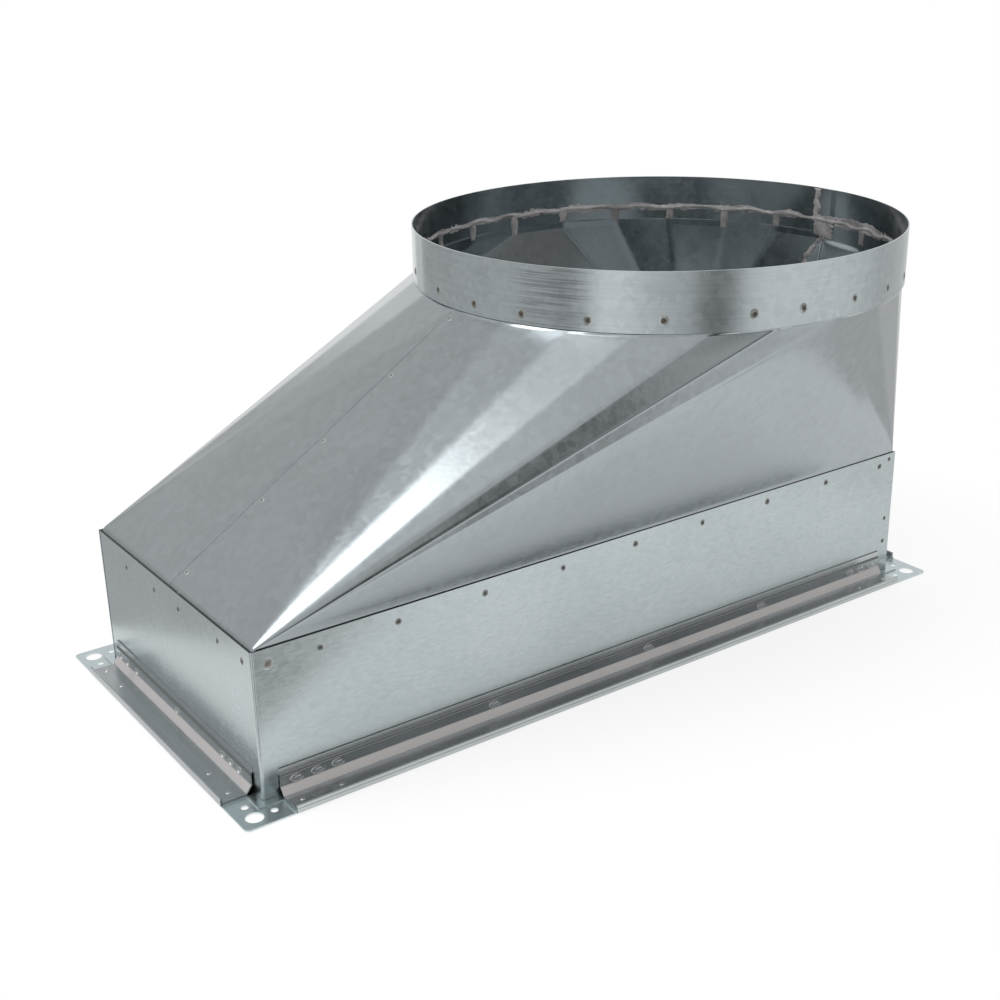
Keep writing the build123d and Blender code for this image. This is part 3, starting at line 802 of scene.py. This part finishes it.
# The clinch rings and dimples are painted paler than the rails they are pressed into, as a painted highlight
# on their raised edges.
clinch_painted_highlight = zinc_sheet(
    "clinch_zinc_painted_highlight",
    dark=(0.50, 0.52, 0.525, 1.0),
    light=(0.66, 0.68, 0.685, 1.0),
    rolled=(300.0, 300.0, 300.0),
    dashes=0.3,
    spangle=0.002,
    gloss=0.22,
    dents=0.00005,
)
rail_sheet = 0.0007
leg_out = 0.0009 + rail_sheet
rail_floor = 0.0018 + rail_sheet
long_row = np.array([-220.8, -208.4, -196.0, -93.2, 22.7, 119.0, 203.2, 213.6, 223.9]) / 1000
spots = np.stack([long_row, np.full(9, -neck_half_y - leg_out), np.full(9, 0.0097)], axis=-1)
clinch_rings("clinches_front", spots, (1, 0, 0), (0, -1, 0), clinch_painted_highlight)
clinch_rings("clinches_rear", spots * [-1, -1, 1], (-1, 0, 0), (0, 1, 0), clinch_painted_highlight)
short_row = np.array([82.9, 72.7, 58.7, 0.0, -59.6, -69.3, -79.2]) / 1000
spots = np.stack([np.full(7, -neck_half_x - leg_out), short_row, np.full(7, 0.0094)], axis=-1)
clinch_rings("clinches_left", spots, (0, -1, 0), (-1, 0, 0), clinch_painted_highlight)
clinch_rings("clinches_right", spots * [-1, -1, 1], (0, 1, 0), (1, 0, 0), clinch_painted_highlight)
grip = np.array([0.017, 0.0404])
grip_out = 0.0118
long_grip = np.concatenate([grip - neck_half_x, neck_half_x - grip])
short_grip = np.concatenate([grip - neck_half_y, neck_half_y - grip])
on_floor = np.full(4, rail_floor)
for name, side in (("front", -1), ("rear", 1)):
    across = np.full(4, side * (neck_half_y + grip_out))
    dimples("dimples_" + name, np.stack([long_grip, across, on_floor], axis=-1), clinch_painted_highlight)
for name, side in (("left", -1), ("right", 1)):
    across = np.full(4, side * (neck_half_x + grip_out))
    dimples("dimples_" + name, np.stack([across, short_grip, on_floor], axis=-1), clinch_painted_highlight)


# Studio: a pale board for a floor, which ends short of the camera, one soft round lamp high up behind on
# the left, and a plain room. The background is white to the camera. What the metal mirrors is the room,
# with brighter and dimmer walls, and its light on matt surfaces is even.
def direction(azimuth, elevation):
    """Unit vector: azimuth 0 points to -Y and 90 to +X, elevation is above the floor."""
    azimuth, elevation = np.radians(azimuth), np.radians(elevation)
    level = np.cos(elevation)
    return np.array([np.sin(azimuth) * level, -np.cos(azimuth) * level, np.sin(elevation)])


near, aside = direction(-35.0, 0.0), direction(55.0, 0.0)
board_front, board_back, board_left, board_right = 0.262, -0.75, -0.295, 0.39
outline = (
    (board_front, board_left),
    (board_front, board_right),
    (board_back, board_right),
    (board_back, board_left),
)
board = [near * d + aside * s - [0, 0, 0.0002] for d, s in outline]
floor_mesh = bpy.data.meshes.new("floor")
floor_mesh.from_pydata([tuple(corner) for corner in board], [], [(0, 1, 2, 3)])
floor = bpy.data.objects.new("floor", floor_mesh)
bpy.context.scene.collection.objects.link(floor)
floor_paint, tree, shader, start = finish_named("floor_paint")
tree.nodes.remove(shader)
matt = start.node("ShaderNodeBsdfDiffuse", {}, {"Color": (0.88, 0.88, 0.88, 1.0)})
glow = start.node("ShaderNodeEmission", {}, {"Color": (1.0, 1.0, 1.0, 1.0), "Strength": 1.06})
rays = tree.nodes.new("ShaderNodeLightPath")
white_to_camera, white_to_metal = 0.7, 0.40
shown = Shade(tree, rays.outputs["Is Camera Ray"]) * white_to_camera
shown = shown + Shade(tree, rays.outputs["Is Glossy Ray"]) * white_to_metal
shown = shown + Shade(tree, rays.outputs["Is Transmission Ray"]) * white_to_camera
both = start.node("ShaderNodeMixShader", {}, {0: shown, 1: matt, 2: glow})
tree.links.new(both.socket, tree.nodes["Material Output"].inputs["Surface"])
floor_mesh.materials.append(floor_paint)

room = bpy.data.worlds.new("room")
bpy.context.scene.world = room
room.use_nodes = True
tree = room.node_tree
start = Shade(tree)
gaze = start.node("ShaderNodeTexCoord", output="Generated")
split = tree.nodes.new("ShaderNodeSeparateXYZ")
tree.links.new(gaze.socket, split.inputs[0])
gaze_x, gaze_y, gaze_z = (Shade(tree, split.outputs[axis]) for axis in range(3))
bearing = gaze_x.math("ARCTAN2", gaze_x, 0.0 - gaze_y) * (180 / np.pi)

dial = tree.nodes.new("ShaderNodeValToRGB")
left_wall = [(-180, 0.46), (-160, 0.52), (-104, 0.58), (-90, 0.52), (-82, 0.40), (-74, 0.55)]
window = [(-65, 1.00), (-56, 0.98), (-40, 0.70), (-27, 0.60)]
doorway = [(-20, 0.32), (-14, 0.24), (-8, 0.36)]
front_wall = [(1, 0.88), (8, 0.94), (30, 0.90), (50, 0.86), (62, 0.74)]
right_wall = [(76, 0.62), (112, 0.62), (128, 0.90), (158, 1.00), (166, 1.00), (172, 0.48), (180, 0.46)]
stops = left_wall + window + doorway + front_wall + right_wall
for bearing_at, grey in stops:
    stop = dial.color_ramp.elements.new(bearing_at / 360 + 0.5)
    stop.color = (grey, grey, grey, 1.0)
dial.color_ramp.elements.remove(dial.color_ramp.elements[0])
dial.color_ramp.elements.remove(dial.color_ramp.elements[-1])
tree.links.new((bearing * (1 / 360) + 0.5).socket, dial.inputs[0])
around = Shade(tree, dial.outputs[0])


def patch(azimuth, elevation, tightness):
    """Soft round patch of the room about a direction: the cosine of the angle from it, raised to a power."""
    at = {0: gaze, 1: tuple(direction(azimuth, elevation))}
    toward = start.node("ShaderNodeVectorMath", {"operation": "DOT_PRODUCT"}, at, "Value")
    return toward.math("MAXIMUM", toward, 0.0) ** tightness


ceiling = 0.68 + 0.24 * patch(-54, 73, 90.0) + 0.46 * patch(-150, 76, 70.0)
ceiling = ceiling - 0.10 * patch(-172, 43, 60.0) + 0.06 * patch(-160, 57, 90.0)
above = gaze_z.ramp(0.25, 0.42)
view = around + (ceiling - around) * above
stand = bearing.ramp(-14.0, -8.0) * (1.0 - bearing.ramp(-1.0, 2.0)) * (1.0 - gaze_z.ramp(0.66, 0.76))
view = view * (1.0 - 0.93 * stand * above) - 0.75 * patch(24, -28.5, 130.0)
shelf = bearing.ramp(8.0, 15.0) * (1.0 - bearing.ramp(48.0, 60.0))
shelf = shelf * gaze_z.ramp(0.06, 0.16) * (1.0 - gaze_z.ramp(0.56, 0.66))
view = view * (1.0 - 0.76 * shelf) - 0.80 * patch(2, 7, 40.0)
view = view.math("MAXIMUM", view, 0.02)
rays = tree.nodes.new("ShaderNodeLightPath")
camera_ray = Shade(tree, rays.outputs["Is Camera Ray"])
shown = camera_ray + Shade(tree, rays.outputs["Is Glossy Ray"])
shown = shown + Shade(tree, rays.outputs["Is Transmission Ray"])
picture = camera_ray + (1.0 - camera_ray) * view
plain_level = 1.0
strength = plain_level + shown * (picture - plain_level)
tree.links.new(strength.socket, tree.nodes["Background"].inputs["Strength"])
tree.nodes["Background"].inputs["Color"].default_value = (1.0, 1.0, 1.0, 1.0)

lamp_data = bpy.data.lights.new("soft_box", "AREA")
lamp_data.shape = "DISK"
lamp_data.size = 1.39
lamp_data.energy = 12.3
lamp = bpy.data.objects.new("soft_box", lamp_data)
lamp_distance = 2.2
aim = Vector((-0.12, -0.09, 0.15))
toward_lamp = Vector(direction(-117, 58))
lamp.location = aim + toward_lamp * lamp_distance
lamp.rotation_euler = (-toward_lamp).to_track_quat("-Z", "Y").to_euler()
bpy.context.scene.collection.objects.link(lamp)

camera_data = bpy.data.cameras.new("camera")
camera_data.lens = 52.92
camera_data.sensor_width = 36.0
camera_data.clip_start = 0.01
camera = bpy.data.objects.new("camera", camera_data)
camera_place = (-0.51395, -0.7115, 0.42796)
back = Vector(direction(-35.0545, 21.6114))
tilt = np.radians(-1.1304)
right = (-back).cross(Vector((0, 0, 1))).normalized()
up = right.cross(-back)
level_right = np.cos(tilt) * right + np.sin(tilt) * up
level_up = -np.sin(tilt) * right + np.cos(tilt) * up
turn_matrix = Matrix((level_right, level_up, back)).transposed()
camera.matrix_world = Matrix.Translation(camera_place) @ turn_matrix.to_4x4()
bpy.context.scene.collection.objects.link(camera)
bpy.context.scene.camera = camera
bpy.context.scene.view_settings.view_transform = "Standard"
